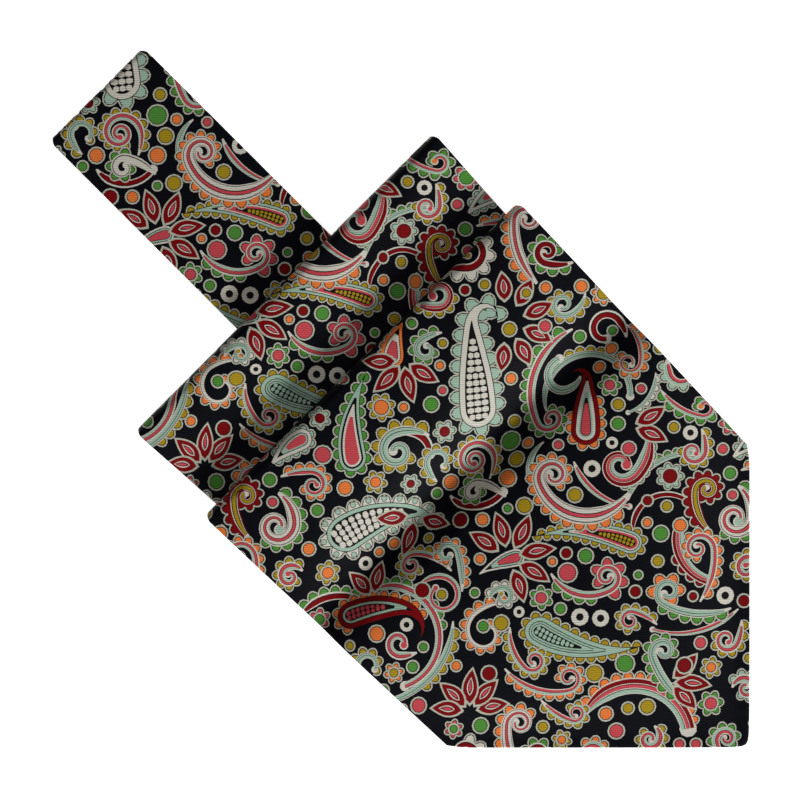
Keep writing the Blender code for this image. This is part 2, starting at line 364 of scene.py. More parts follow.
MOTIFS = {
    "net_pear": pear(
        58, 6.8, -4, -265, [LINE, ("cream", 1.9), ("line", .5)],
        [Edging("mint", 5.6, 1.25, .02, .98)], .62, ("cream", 2.5),
    ),
    "ring_pear": pear(
        48, 7.0, -60, -60, [LINE, ("mint", 1.3), ("line", .5)],
        [Edging("cream", 5.6, 1.15, .02, .98)], .6, ("cream", 2.5), "mint",
    ),
    "coral_spindle": pear(
        42, 4.2, 45, 0, [THIN, ("mint", .8), LINE, ("cream", .4), ("coral", .7), LINE],
        [Edging("mustard", 3.5, 1.0, .02, .98)], .6, ("mustard", 1.5),
    ),
    "mint_spindle": pear(
        46, 5.4, 55, 0, [THIN, ("mint", 1.3), LINE, ("mint", .6), THIN, ("mint", .6), LINE],
        [Edging("mustard", 3.9, 1.0, .02, .98)], .6, ("mint", 1.7),
    ),
    "coral_pear": pear(
        37, 5.2, 4, 230,
        [THIN, ("red", 1.3), THIN, ("cream", .9), ("mint", .6), LINE, ("coral", 1.4)],
        [Edging("orange", 4.0, 1.0, .28, .72)], .62,
    ),
    "red_pear": pear(
        44, 5.2, -50, -150, [THIN, ("red", 1.6), THIN, ("mint", .8), LINE],
        [Edging("orange", 4.0, 1.0, .12, .62)], .5, ("coral", 1.9),
    ),
    "green_pear": pear(
        38, 5.0, -50, 0, [THIN, ("mint", .9), ("line", .7), ("cream", .7), ("coral", 2.0)],
        [Edging("green", 4.2, .9, .02, .98)], .6,
    ),
    "small_pear": pear(
        19, 4.0, -45, 0, [("orange", .9), THIN, ("cream", .7), THIN, ("coral", 2.0)],
        [Edging("orange", 3.4, .7, .1, .6)], .6,
    ),
    "thin_pear": pear(
        20, 3.1, 30, 0, [("cream", .6), LINE, ("mint", .5), THIN, ("coral", 2.0)], (), .6,
    ),
    "cream_pear": pear(
        22, 3.8, 40, 0, [THIN, ("cream", 1.1), LINE, ("mint", .5), ("coral", 2.0)],
        [Edging("mint", 3.4, .8, .1, .9)], .6,
    ),
    "green_hook": curl(
        5.4, 400, 42, 95, 3.4, CORAL_CREAM, [Edging("green", 4.9, 1.15)], knob="coral",
    ),
    "mint_hook": scroll(56, 2.6, -205, MINT, [Edging("mustard", 4.2, .9, .32, .92)], .8),
    "inner_hook": scroll(26, 3.4, -240, MINT, taper=.7),
    "cream_hook": curl(
        6.0, -400, 40, -128, 6.0, BROAD, [Edging("orange", 5.0, 1.15, .08, 1.0)], 1.8, .42,
    ),
    "plain_hook": scroll(32, 2.2, 145, MINT),
    "coral_band": scroll(27, 2.6, 62, CORAL),
    "red_hook": curl(
        7.0, -330, 16, -50, 5.4, BROAD_RED, [Edging("mint", 3.6, .5, .0, .5)], 2.4, .6, "coral",
    ),
    "mustard_curl": curl(
        4.6, -400, 8, -20, 2.9, CORAL_CREAM, [Edging("mustard", 4.0, 1.0, 0, .9)], knob="coral",
    ),
    "red_scroll": curl(4.9, -430, 17, -55, 4.4, RED_MUSTARD, [Edging("red", 4.0, 1.0, .1, 1.0)]),
    "mint_eye": curl(
        7.2, -420, 12, -50, 5.0, BROAD, [Edging("green", 4.8, 1.0, 0, .7)], 2.0, .6, "mint",
    ),
    "orange_scroll": curl(6.3, 480, 20, 40, 2.7, CORAL_CREAM, [Edging("orange", 4.3)], 1.3),
    "green_curl": curl(
        4.9, -400, 26, -50, 3.0, MINT,
        [Edging("green", 4.8, 1.05, .03, .58), Edging("orange", 4.8, 1.1, .6, 1.1)], 1.8,
    ),
    "coral_line": scroll(34, 2.2, -60, CORAL),
    "coral_scroll": curl(
        5.0, 430, 25, 90, 3.0, CORAL_CREAM,
        [Edging("green", 4.6, .9, .06, .46), Edging("coral", 4.8, 1.2, .48, 1.05)],
    ),
    "mustard_scroll": curl(4.4, 400, 16, 50, 2.7, CORAL, [Edging("mustard", 3.9, 1.05)]),
    "orange_c": curl(8.6, 360, 12, 40, 1.7, CREAM, [Edging("orange", 4.4, 1.1, 0, 1.12)], 2.4),
    "orange_curl": curl(4.9, 430, 26, 60, 2.6, CORAL, [Edging("orange", 4.2, 1.05)]),
    "mint_curl": curl(4.2, 330, 14, 20, 2.6, MINT, [Edging("orange", 3.9)]),
    "ringed_dot": curl(7.0, -330, 10, -60, 2.4, CORAL, (), 3.6, .7, "coral"),
    "deep_curl": curl(
        8.0, 640, 7, 20, 2.9, CORAL_CREAM, [Edging("mustard", 4.1)], 1.5, .7, "coral",
    ),
    "mustard_c": curl(4.6, -250, 7, -30, 2.6, MINT, [Edging("mustard", 4.0, 1.0, 0, 1.1)], 2.8),
    "great_curl": curl(
        7.0, 430, 13, 50, 3.6, MINT, [Edging("mustard", 5.2, 1.15, .02, .9)], 1.8, .7,
    ),
    "green_c": curl(4.0, 330, 8, 30, 2.6, MINT, [Edging("green", 3.8, 1.0)], 1.6),
    "cream_curl": curl(4.0, 330, 12, 30, 3.2, CREAM, [Edging("green", 4.0, 1.0, .35, 1.0)], 1.7),
    "red_line": scroll(24, 3.0, 110, RED, taper=.8),
    "red_arc": scroll(17, 3.8, -110, RED, taper=.7),
    "far_curl": curl(4.6, -430, 10, -60, 2.4, MINT, [Edging("mustard", 4.1)]),
    "red_c": curl(5.6, 240, 8, 30, 3.2, RED, (), 4.2, .9),
    "lobed_curl": curl(4.2, -400, 17, -60, 2.0, CORAL, [Edging("orange", 4.1, 1.15)]),
    "mint_lobes": curl(4.8, 230, 6, 20, 3.4, CORAL, [Edging("mint", 4.1, 1.1)], 2.6),
    "green_line": curl(
        3.6, 280, 18, 45, 2.4, CORAL, [Edging("green", 4.4, 1.1, 0, 1.1)], 1.6, .8, "orange",
    ),
    "cream_arc": scroll(19, 1.6, -75, MINT, [Edging("cream", 3.4, .9)]),
    "red_curl": curl(4.6, -420, 10, -40, 3.2, RED, [Edging("green", 4.4, 1.1)]),
    "corner_hook": curl(
        5.0, -380, 25, -50, 4.4, BROAD, [Edging("orange", 5.0, 1.1, .05, .8)], 1.8, .5,
    ),
    "green_net": curl(4.8, -380, 19, -30, 3.4, MINT, [Edging("green", 4.3, 1.05)]),
    "coral_c": curl(3.7, 380, 10, 30, 2.4, CORAL, [Edging("mustard", 3.7)]),
    "long_hook": scroll(62, 3.0, -195, CORAL_CREAM, [Edging("green", 4.6, 1.0, .03, .6)], .9),
    "coral_eye": curl(4.6, -300, 6, -20, 3.0, CORAL_CREAM, (), 2.0, .8, "coral"),
    "mint_sweep": scroll(44, 2.6, -85, MINT, [Edging("mustard", 4.6, 1.0, .05, .6)], .9),
    "arch": scroll(50, 6.0, -140, BROAD_RED, [Edging("orange", 4.8, 1.1)], .9),
    "green_arc": scroll(31, 2.0, -75, MINT, [Edging("green", 3.8, .9, .1, 1.0)], .9),
    "red_bow": scroll(30, 2.4, -140, RED, taper=.8),
    "red_crescent": scroll(30, 4.4, 105, BROAD_RED, [Edging("red", 4.2, .8, .45, 1.0)], .8),
    "low_curl": curl(3.4, 380, 14, 30, 2.4, CORAL, [Edging("mustard", 3.7)]),
    "coral_round": curl(5.2, -450, 11, -20, 2.7, CORAL, [Edging("orange", 4.0)], 1.4, .6, "coral"),
    "red_wave": scroll(27, 3.2, -85, RED, [Edging("green", 4.4, 1.1)], .8),
    "mint_knob": curl(3.6, -350, 6, -60, 2.2, MINT, [Edging("cream", 3.4, .9)], 1.4, .7, "mustard"),
    "cream_lobes": curl(
        7.2, 360, 11, 20, 3.6, RED, [Edging("cream", 5.2, 1.2, .02, .8)], 2.2, .6, "mustard",
    ),
    "red_eye": curl(
        4.8, 300, 8, 20, 3.8, BROAD_RED, [Edging("mustard", 4.0, 1.0, 0, .6)], 2.2, .7, "coral",
    ),
    "fan_2": fan(2, 40), "fan_3": fan(3, 75), "fan_3_wide": fan(3, 145), "fan_4": fan(4, 135),
    "fan_5": fan(5, 150), "fan_6": fan(6, 178, 7.0, 13.0), "fan_6_wide": fan(6, 205, 4.0),
}

# The repeat, charted in mm across and down the cloth's straight grain. A curl's place is
# the centre of its eye, and any other motif's is its start; the angle is the way it points, in
# degrees from across.
REPEAT = (168.0, 184.0)
CHART = (
    ("mint_hook", 199, 151, 112), ("mint_sweep", 166, 227, -92), ("long_hook", 133, 217, 32),
    ("coral_line", 270, 224, 222), ("coral_band", 209.5, 170, -70), ("plain_hook", 199, 163, 215),
    ("arch", 214, 262, 62), ("red_line", 164, 181, -55), ("red_arc", 144, 157, 20),
    ("cream_arc", 238, 137, -85), ("red_wave", 109, 223, 50), ("inner_hook", 211, 138, -100),
    ("green_arc", 229, 184, 75), ("red_bow", 231, 196, 100), ("red_crescent", 249, 190, -118),
    ("low_curl", 211, 261, 340), ("net_pear", 174, 156, 97), ("ring_pear", 120, 198, 42),
    ("coral_spindle", 234, 201, 153), ("mint_spindle", 193, 228, -38),
    ("coral_pear", 213.5, 164, 88), ("red_pear", 123.5, 226, 24), ("green_pear", 129, 171, 108),
    ("small_pear", 142, 134, 97), ("thin_pear", 192, 204, 188), ("cream_pear", 113, 158, 200),
    ("green_hook", 201, 154, 300), ("cream_hook", 202.5, 175, 110), ("red_hook", 226, 171, 230),
    ("mustard_curl", 252, 166, 270), ("red_scroll", 257.5, 180, 85), ("mint_eye", 268, 190.5, 275),
    ("orange_scroll", 254.5, 201.5, 95), ("green_curl", 244, 217, 150),
    ("coral_scroll", 221.5, 211.5, 30), ("mustard_scroll", 195.5, 241.5, 315),
    ("orange_c", 178, 231.5, 215), ("orange_curl", 208, 248, 10), ("mustard_scroll", 151, 207, 180),
    ("ringed_dot", 162, 218, 0), ("mint_curl", 164, 203, 105), ("deep_curl", 172.5, 168, 90),
    ("mustard_c", 159, 168, 110), ("great_curl", 144, 164, 200), ("green_c", 154, 127.5, 215),
    ("cream_curl", 173.5, 180.5, 165), ("far_curl", 203.5, 111, 205), ("red_c", 219.5, 120, 130),
    ("lobed_curl", 228.5, 133.5, 262), ("mint_lobes", 247.5, 136.5, 290),
    ("green_line", 256, 149.5, 350), ("red_curl", 197.5, 92, 165), ("corner_hook", 190.5, 80.5, 85),
    ("green_net", 242.5, 238.5, 110), ("coral_c", 230, 227.5, 165), ("coral_eye", 146, 234.5, 180),
    ("coral_round", 113.5, 176, 0), ("mustard_c", 134.5, 242, 120), ("mint_knob", 184.5, 218.5, 20),
    ("cream_lobes", 169.5, 91.5, 0), ("red_eye", 158.5, 107.5, 0),
    ("mustard_curl", 265.5, 235, 250), ("fan_4", 146, 131, 255), ("fan_6", 182.0, 117.5, 0),
    ("fan_6_wide", 186, 205, 38), ("fan_5", 172, 260, 92), ("fan_3_wide", 151, 187.5, 262),
    ("fan_2", 137, 219, 107), ("fan_3", 244, 250, 0), ("fan_2", 229, 157, 5),
)
DOTS = (
    ("coral", 197, 119, 2.8), ("mustard", 190, 107, 2.3), ("orange", 210, 104.5, 2.9),
    ("green", 222, 121, 2.3), ("orange", 222, 128, 2.8), ("green", 225, 156, 2.9),
    ("mustard", 245, 157, 2.5), ("coral", 229, 165, 3.0), ("ring", 216, 172.5, 3.1),
    ("orange", 186, 176, 3.5), ("mustard", 192, 186, 3.3), ("green", 186, 161.5, 4.1),
    ("green", 156, 147, 3.2), ("mustard", 240, 206, 2.6), ("green", 233, 211, 2.0),
    ("coral", 207.5, 210, 3.8), ("ring", 219.5, 226.5, 3.1), ("green", 228.5, 243, 3.8),
    ("mustard", 217.5, 246.5, 3.6), ("mustard", 183.5, 228, 3.3), ("green", 177, 229, 2.6),
    ("red", 179, 246, 3.2), ("orange", 167, 243, 2.4), ("red", 155, 216, 3.2),
    ("mustard", 162, 217.5, 2.4), ("orange", 143.5, 198, 2.6), ("red", 236, 184, 2.4),
    ("mustard", 243, 186, 2.5), ("orange", 248, 193, 3.0), ("orange", 236, 192, 2.3),
    ("red", 250, 244, 3.3), ("coral", 117, 165, 3.6), ("orange", 222, 261.5, 3.0),
    ("mustard", 230, 259.5, 2.6),
)


def area_of(points):
    following = np.roll(points, -1, 0)
    return np.sum(points[:, 0] * following[:, 1] - points[:, 1] * following[:, 0]) / 2.0


def wound(points):
    """A patch as simple pieces that all run the same way round."""
    before, after = points - np.roll(points, 1, 0), np.roll(points, -1, 0) - points
    turns = before[:, 0] * after[:, 1] - before[:, 1] * after[:, 0]
    if len(points) == 4 and turns.min() < 1e-6 and turns.max() > -1e-6:
        return wound(points[[0, 1, 2]]) + wound(points[[0, 2, 3]])
    if abs(area_of(points)) < 1e-4:
        return []
    return [points if area_of(points) < 0.0 else points[::-1]]


printed = []


def put(shapes, across, down, angle=0.0):
    for ink, points in shapes:
        for piece in wound(turned(points, angle)):
            printed.append((ink, piece + [across, -down]))


for motif, across, down, angle in CHART:
    put(MOTIFS[motif], across, down, angle)
for ink, across, down, radius in DOTS:
    put(dot(radius, ink), across, down)


# The ground left between the charted motifs is filled from its widest gaps down, with small
# curls, then flowers, then dots. Each turns on from the one before by the golden angle.
FILL_STEP = 1.0
FILL_REACH = 11
ROOM_FOR_DOT = 2.8
ROOM_FOR_FLOWER = 4.4
ROOM_FOR_CURL = 5.6
LARGEST_DOT = 3.3
LARGEST_CURL = 8.0
PETAL_DEPTH = 1.5
GOLDEN_ANGLE = 137.5


def clearances(corners):
    """Distance from each place of a grid over the repeat to the nearest corner of a patch."""
    cells = np.array([round(side / FILL_STEP) for side in REPEAT])
    free = np.full(cells, float(FILL_REACH))
    on_grid = np.stack([corners[:, 0], -corners[:, 1]], 1) / FILL_STEP
    nearest = np.floor(on_grid).astype(int)
    for i in range(-FILL_REACH, FILL_REACH + 1):
        for k in range(-FILL_REACH, FILL_REACH + 1):
            place = nearest + (i, k)
            gap = np.linalg.norm((place - on_grid) * FILL_STEP, axis=1)
            np.minimum.at(free, tuple((place % cells).T), gap)
    return free


def flower(radius, ink, heart):
    """A dot with a ring of petals."""
    inner = radius - PETAL_DEPTH
    round_it = disc((0, 0), inner, 24)
    round_it = np.concatenate([round_it, round_it[:1]])
    out = round_it / np.linalg.norm(round_it, axis=1, keepdims=True)
    pitch = 2.0 * math.pi * inner / max(6, round(2.1 * inner))
    shapes = lobes(round_it, out, Edging(ink, pitch, 1.0, 0.0, 1.0))
    return shapes + dot(radius - 1.6, heart)


FILL_INKS = ("orange", "green", "mustard", "mint", "coral")
DOT_INKS = (
    "mustard", "orange", "green", "coral", "red", "ring", "orange", "mustard", "green", "coral"
)


def fill_in():
    corners = np.concatenate([
        np.concatenate([p, (p + np.roll(p, -1, 0)) / 2.0]) for _, p in printed
    ])
    free = clearances(corners)
    across, down = np.meshgrid(*(np.arange(n) * FILL_STEP for n in free.shape), indexing="ij")
    for count in range(600):
        x, y = np.unravel_index(free.argmax(), free.shape)
        room = free[x, y]
        if room < ROOM_FOR_DOT:
            break
        place = (across[x, y], down[x, y])
        ink, angle = FILL_INKS[count % 5], GOLDEN_ANGLE * count
        if room > ROOM_FOR_CURL:
            radius = min(room - 0.5, LARGEST_CURL)
            way = 1 if count % 2 else -1
            width = 2.2 + 0.12 * radius
            eye = radius - width / 2.0 - 2.3
            stripes = (CORAL, MINT, CORAL_CREAM)[count % 3]
            knob = "coral" if count % 2 else "cream"
            edgings = [Edging(ink, 3.7, 1.0)]
            shapes = curl(eye, way * 400, eye * 1.1, way * 50, width, stripes, edgings, 1.2, .6, knob)
            put(shapes, *place, angle)
        elif room > ROOM_FOR_FLOWER:
            radius = room - 0.6
            put(flower(radius, ink, DOT_INKS[(count * 3) % 5]), *place, angle)
        else:
            radius = min(room - 0.75, LARGEST_DOT)
            put(dot(radius, DOT_INKS[count % 10]), *place)
        apart = [np.abs(grid - at) for grid, at in zip((across, down), place)]
        apart = [np.minimum(gap, side - gap) for gap, side in zip(apart, REPEAT)]
        free = np.minimum(free, np.maximum(np.hypot(*apart) - radius, 0.0))


fill_in()


def print_on(low, high, shift):
    """The print's patches that may reach a panel of cloth, in its own flat measures."""
    slant = [np.stack([p[:, 0] + p[:, 1], p[:, 0] - p[:, 1]], 1) / math.sqrt(2.0) for _, p in printed]
    least = np.array([p.min(0) for p in slant])
    most = np.array([p.max(0) for p in slant])
    patches = []
    for i in range(-4, 5):
        for k in range(-4, 5):
            across, down = i * REPEAT[0] - shift[0], k * REPEAT[1] - shift[1]
            step = np.array([across - down, across + down]) / math.sqrt(2.0)
            near = ((most + step > low) & (least + step < high)).all(1)
            patches += [(k, printed[k][0], slant[k] + step) for k in np.nonzero(near)[0]]
    patches.sort(key=lambda patch: patch[0])
    return [(ink, points) for _, ink, points in patches]


RIB_PITCH = 0.8
WARP_PITCH = 0.34


def ribbed_weave():
    """Cross ribs of the weave over a print, from the cloth's measures: colour, roughness, height."""
    group = bpy.data.node_groups.new("ribbed_weave", "ShaderNodeTree")
    for name, way, kind in (
        ("Ink", "INPUT", "Color"), ("Cloth", "INPUT", "Vector"), ("Rib Pitch", "INPUT", "Float"),
        ("Rib Shade", "INPUT", "Float"), ("Color", "OUTPUT", "Color"), ("Roughness", "OUTPUT", "Float"),
        ("Height", "OUTPUT", "Float"),
    ):
        group.interface.new_socket(name=name, in_out=way, socket_type="NodeSocket" + kind)
    nodes, link = group.nodes, group.links.new
    given, result = nodes.new("NodeGroupInput"), nodes.new("NodeGroupOutput")

    def maths(operation, first, second=None):
        node = nodes.new("ShaderNodeMath")
        node.operation = operation
        for socket, value in zip(node.inputs, (first, second)):
            if isinstance(value, (int, float)):
                socket.default_value = value
            elif value is not None:
                link(value, socket)
        return node.outputs[0]

    parts = nodes.new("ShaderNodeSeparateXYZ")
    link(given.outputs["Cloth"], parts.inputs[0])
    down = maths("MULTIPLY", maths("SUBTRACT", parts.outputs["Y"], parts.outputs["X"]), math.sqrt(0.5))
    across = maths("MULTIPLY", maths("ADD", parts.outputs["Y"], parts.outputs["X"]), math.sqrt(0.5))

    # The weft wanders a little, and its threads vary in thickness
    wander, thread = nodes.new("ShaderNodeTexNoise"), nodes.new("ShaderNodeTexNoise")
    for noise, scale, detail in ((wander, 0.12, 1.0), (thread, 1.0, 2.0)):
        noise.inputs["Scale"].default_value = scale
        noise.inputs["Detail"].default_value = detail
    link(given.outputs["Cloth"], wander.inputs["Vector"])
    drift = maths("MULTIPLY", maths("SUBTRACT", wander.outputs["Fac"], 0.5), 1.2)
    turns = maths("DIVIDE", maths("ADD", down, drift), given.outputs["Rib Pitch"])
    wave = maths("SINE", maths("MULTIPLY", turns, 2.0 * math.pi))
    rib = maths("ADD", maths("MULTIPLY", wave, 0.5), 0.5)
    warp = maths("SINE", maths("MULTIPLY", across, 2.0 * math.pi / WARP_PITCH))
    height = maths("ADD", rib, maths("MULTIPLY", warp, 0.12))

    stretched = nodes.new("ShaderNodeCombineXYZ")
    link(maths("MULTIPLY", across, 0.35), stretched.inputs["X"])
    link(maths("MULTIPLY", down, 2.2), stretched.inputs["Y"])
    link(stretched.outputs[0], thread.inputs["Vector"])

    # The colour is darker in the ribs' low parts and lighter on their crests: painted shade of the rib
    # relief, on top of the bump
    shade = maths("MULTIPLY", maths("SUBTRACT", height, 0.5), given.outputs["Rib Shade"])
    uneven = maths("MULTIPLY", maths("SUBTRACT", thread.outputs["Fac"], 0.5), 0.22)
    bright = maths("ADD", maths("ADD", shade, uneven), 1.0)
    tint = nodes.new("ShaderNodeVectorMath")
    tint.operation = "SCALE"
    link(given.outputs["Ink"], tint.inputs[0])
    link(bright, tint.inputs["Scale"])
    link(tint.outputs[0], result.inputs["Color"])
    link(maths("ADD", maths("MULTIPLY", thread.outputs["Fac"], 0.12), 0.42), result.inputs["Roughness"])
    link(height, result.inputs["Height"])
    return group


silk = bpy.data.materials.new("printed_silk")
silk.use_nodes = True
nodes, link = silk.node_tree.nodes, silk.node_tree.links.new
shader = nodes["Principled BSDF"]
for socket, value in (("Specular IOR Level", 0.07), ("Sheen Weight", 0.01), ("Sheen Roughness", 0.4)):
    shader.inputs[socket].default_value = value
ink_node, cloth_node = nodes.new("ShaderNodeAttribute"), nodes.new("ShaderNodeAttribute")
ink_node.attribute_name, cloth_node.attribute_name = "ink", "cloth"
weave = nodes.new("ShaderNodeGroup")
weave.node_tree = ribbed_weave()
weave.inputs["Rib Pitch"].default_value = RIB_PITCH
# How strongly the ribs' painted shade darkens their low parts
weave.inputs["Rib Shade"].default_value = 0.34
link(ink_node.outputs["Color"], weave.inputs["Ink"])
link(cloth_node.outputs["Vector"], weave.inputs["Cloth"])
relief = nodes.new("ShaderNodeBump")
relief.inputs["Strength"].default_value = 0.5
relief.inputs["Distance"].default_value = 0.06 * MM
link(weave.outputs["Color"], shader.inputs["Base Color"])
link(weave.outputs["Roughness"], shader.inputs["Roughness"])
link(weave.outputs["Height"], relief.inputs["Height"])
link(relief.outputs["Normal"], shader.inputs["Normal"])


# The neckband: a plain strip 48 mm wide, two layers of the silk sewn face to face, turned and
# pressed. It is doubled back on itself, and the blades lie over the rest of it.
PLY = 1.2
CORNER_RADIUS = 3.3
FOLD_DEPTH = 3.0
SPAN = 332.5
GRID = 2.6
EDGE_RINGS = (0.05, 0.2, 0.6)
TURN_STEPS = 40

BAND_WIDTH = 48.0
BAND_LOOP = 2.0
BAND_END = 174.5


def smooth_step(value, low, high):
    share = np.clip((value - low) / (high - low), 0.0, 1.0)
    return share * share * (3.0 - 2.0 * share)


def rounded_corner(inset):
    """How far a panel's side draws in at this distance past its fold."""
    reach = np.maximum(0.0, CORNER_RADIUS - np.maximum(0.0, inset))
    return CORNER_RADIUS - np.sqrt(CORNER_RADIUS**2 - reach**2)


def fold_turn(fold, low, high, depth=FOLD_DEPTH):
    """The turn of a fold, from its lower layer's height to its upper one's."""
    turn = np.linspace(0.0, math.pi, TURN_STEPS + 1)
    s = fold + PLY / 2 + depth * (1.0 - np.sin(turn))
    return s, (low + high) / 2 - (high - low) / 2 * np.cos(turn)


def section(fold, below_end, above_end, low, high, depth=FOLD_DEPTH):
    """The middle of the cloth from the hidden end, over the fold, to the shown end."""
    turned_at = fold + PLY / 2 + depth
    below = np.arange(below_end, turned_at, -0.5)
    above = np.arange(turned_at, above_end, 0.5)[1:]
    arc_s, arc_z = fold_turn(fold, low(turned_at), high(turned_at), depth)
    s = np.concatenate([below, arc_s, above, [above_end]])
    z = np.concatenate([low(below), arc_z, high(above), [high(above_end)]])
    along = summed(np.hypot(np.diff(s), np.diff(z)))
    return along - along[len(below) + TURN_STEPS // 2], s, z


EDGE_STEP = 1.2
BEND = 6.0
BEND_STEP = 0.35


class Panel:
    """A panel of cloth turned over on itself: where each point of the flat cloth comes to lie."""

    SHARES = np.linspace(-1.04, 1.04, 105)
    STEP = 0.4
    BEYOND = 6.0

    def __init__(self, section_at, half_width):
        self.half_width = half_width
        lines = [section_at(share) for share in self.SHARES]
        self.low = min(line[0][0] for line in lines)
        reach = max(line[0][-1] for line in lines) + self.BEYOND
        self.places = np.arange(self.low - self.BEYOND, reach, self.STEP)
        self.s = np.array([self.carried_on(*line[:2]) for line in lines])
        self.z = np.array([self.carried_on(line[0], line[2]) for line in lines])
        self.ends = np.array([(line[0][0], line[0][-1]) for line in lines])

    def carried_on(self, along, values):
        """A column read at even steps, and carried straight on past both its ends."""
        read = np.interp(self.places, along, values)
        first = (values[1] - values[0]) / (along[1] - along[0])
        last = (values[-1] - values[-6]) / (along[-1] - along[-6])
        read += first * np.minimum(self.places - along[0], 0.0)
        return read + last * np.maximum(self.places - along[-1], 0.0)

    def read(self, column, share, a):
        i = (share - self.SHARES[0]) / (self.SHARES[1] - self.SHARES[0])
        i = np.clip(i, 0, len(self.SHARES) - 1.001)
        k = np.clip((a - self.places[0]) / self.STEP, 0, len(self.places) - 1.001)
        i0, k0 = i.astype(int), k.astype(int)
        f, g = i - i0, k - k0
        near = column[i0, k0] * (1 - g) + column[i0, k0 + 1] * g
        far = column[i0 + 1, k0] * (1 - g) + column[i0 + 1, k0 + 1] * g
        return near * (1 - f) + far * f

    def lay(self, x, a):
        """The place in space, in metres, of points of the flat cloth."""
        s = self.read(self.s, x * 0.0, a)
        for _ in range(3):
            share = x / self.half_width(s)
            s = self.read(self.s, share, a)
        z = self.read(self.z, share, a)
        return np.stack([x, SPAN / 2 - s, z], -1) * MM

    def facing(self, x, a, reach=0.7):
        across = self.lay(x + reach, a) - self.lay(x - reach, a)
        onward = self.lay(x, a + reach) - self.lay(x, a - reach)
        normal = np.cross(onward, across)
        return normal / np.linalg.norm(normal, axis=1, keepdims=True)

    def outline(self):
        """The flat cut, once round, with its steps closer at the fold's corners."""
        inside = np.abs(self.SHARES) < 1.0
        shares = np.concatenate([[-1.0], self.SHARES[inside], [1.0]])
        low, high = (np.interp(shares, self.SHARES, self.ends[:, k]) for k in (0, 1))

        def side(share):
            first, last = (np.interp(share, self.SHARES, self.ends[:, k]) for k in (0, 1))
            a = np.concatenate([
                np.arange(first + EDGE_STEP, -BEND, EDGE_STEP), np.arange(-BEND, BEND, BEND_STEP),
                np.arange(BEND, last - EDGE_STEP / 2, EDGE_STEP),
            ])
            at = np.full(len(a), share)
            return np.stack([share * self.half_width(self.read(self.s, at, a)), a], 1)

        def end(places):
            x = shares * self.half_width(self.read(self.s, shares, places))
            return np.stack([x, places], 1)

        return np.concatenate([end(low), side(1.0), end(high)[::-1], side(-1.0)[::-1]])


def drawn_in(outline, inset):
    """A closed outline moved inwards."""
    along = np.roll(outline, -1, 0) - np.roll(outline, 1, 0)
    along /= np.linalg.norm(along, axis=1, keepdims=True)
    return outline + np.stack([-along[:, 1], along[:, 0]], 1) * inset


def edge_distance(points, outline, limit):
    """Distance from each point to the outline, where it is under a limit."""
    nearest = np.full(len(points), limit)
    for start, end in zip(outline, np.roll(outline, -1, 0)):
        low, high = np.minimum(start, end) - limit, np.maximum(start, end) + limit
        near = np.nonzero(((points > low) & (points < high)).all(1))[0]
        way = end - start
        share = np.clip((points[near] - start) @ way / (way @ way), 0.0, 1.0)
        gap = np.linalg.norm(points[near] - start - share[:, None] * way, axis=1)
        nearest[near] = np.minimum(nearest[near], gap)
    return nearest


def inside(points, outline):
    """Which points lie within a closed outline."""
    crossings = np.zeros(len(points), int)
    for (x0, y0), (x1, y1) in zip(outline, np.roll(outline, -1, 0)):
        if y0 != y1:
            spans = (points[:, 1] > min(y0, y1)) & (points[:, 1] <= max(y0, y1))
            at = x0 + (points[:, 1] - y0) / (y1 - y0) * (x1 - x0)
            crossings += spans & (at > points[:, 0])
    return crossings % 2 == 1


def cut_and_print(outline, rows, patches, rings=None):
    """The flat cloth as triangles, each of one ink, and its points' distances from the edge."""
    low, high = outline.min(0), outline.max(0)
    spacing = GRID if patches else 2.0 * GRID
    loose = np.array([(x, a) for a in rows for x in np.arange(low[0], high[0], spacing)])
    loose = loose[inside(loose, outline)]
    loose = loose[edge_distance(loose, outline, 1.0) > 0.9]
    if rings is None:
        rings = [drawn_in(outline, inset) for inset in EDGE_RINGS]
    count = len(outline)
    points = [outline, *rings, loose] + [patch for _, patch in patches]
    edges, faces = [], [list(range(count))]
    for ring in range(1, len(rings) + 1):
        edges += [(ring * count + k, ring * count + (k + 1) % count) for k in range(count)]
    at = count * (len(rings) + 1) + len(loose)
    for _, patch in patches:
        faces.append(list(range(at, at + len(patch))))
        at += len(patch)
    joined = np.concatenate(points)
    verts, _, triangles, _, _, origins = delaunay_2d_cdt(joined.tolist(), edges, faces, 1, 1e-5, True)
    flat, triangles = np.array([tuple(v) for v in verts]), np.array(triangles)
    a, b, c = (flat[triangles[:, k]] for k in range(3))
    turn = (b[:, 0] - a[:, 0]) * (c[:, 1] - a[:, 1]) - (b[:, 1] - a[:, 1]) * (c[:, 0] - a[:, 0])
    triangles[turn < 0] = triangles[turn < 0][:, ::-1]

    # A patch that spilt past its own outline isn't printed
    owner = np.repeat(np.arange(len(origins)), [len(origin) for origin in origins])
    source = np.array([face for origin in origins for face in origin])
    covered = np.bincount(source, np.abs(turn[owner]) / 2.0, len(faces))
    whole = np.array([abs(area_of(outline))] + [abs(area_of(patch)) for _, patch in patches])
    source[covered[source] > 1.5 * whole[source] + 0.01] = -1
    last = np.full(len(triangles), -1)
    np.maximum.at(last, owner, source)
    within = np.zeros(len(triangles), bool)
    within[owner[source == 0]] = True
    names = ["ground"] + [ink for ink, _ in patches]
    inks = [names[k] for k in last[within]]
    used, triangles = np.unique(triangles[within], return_inverse=True)
    flat = flat[used]
    return flat, triangles.reshape(-1, 3), inks, edge_distance(flat, outline, 1.0)


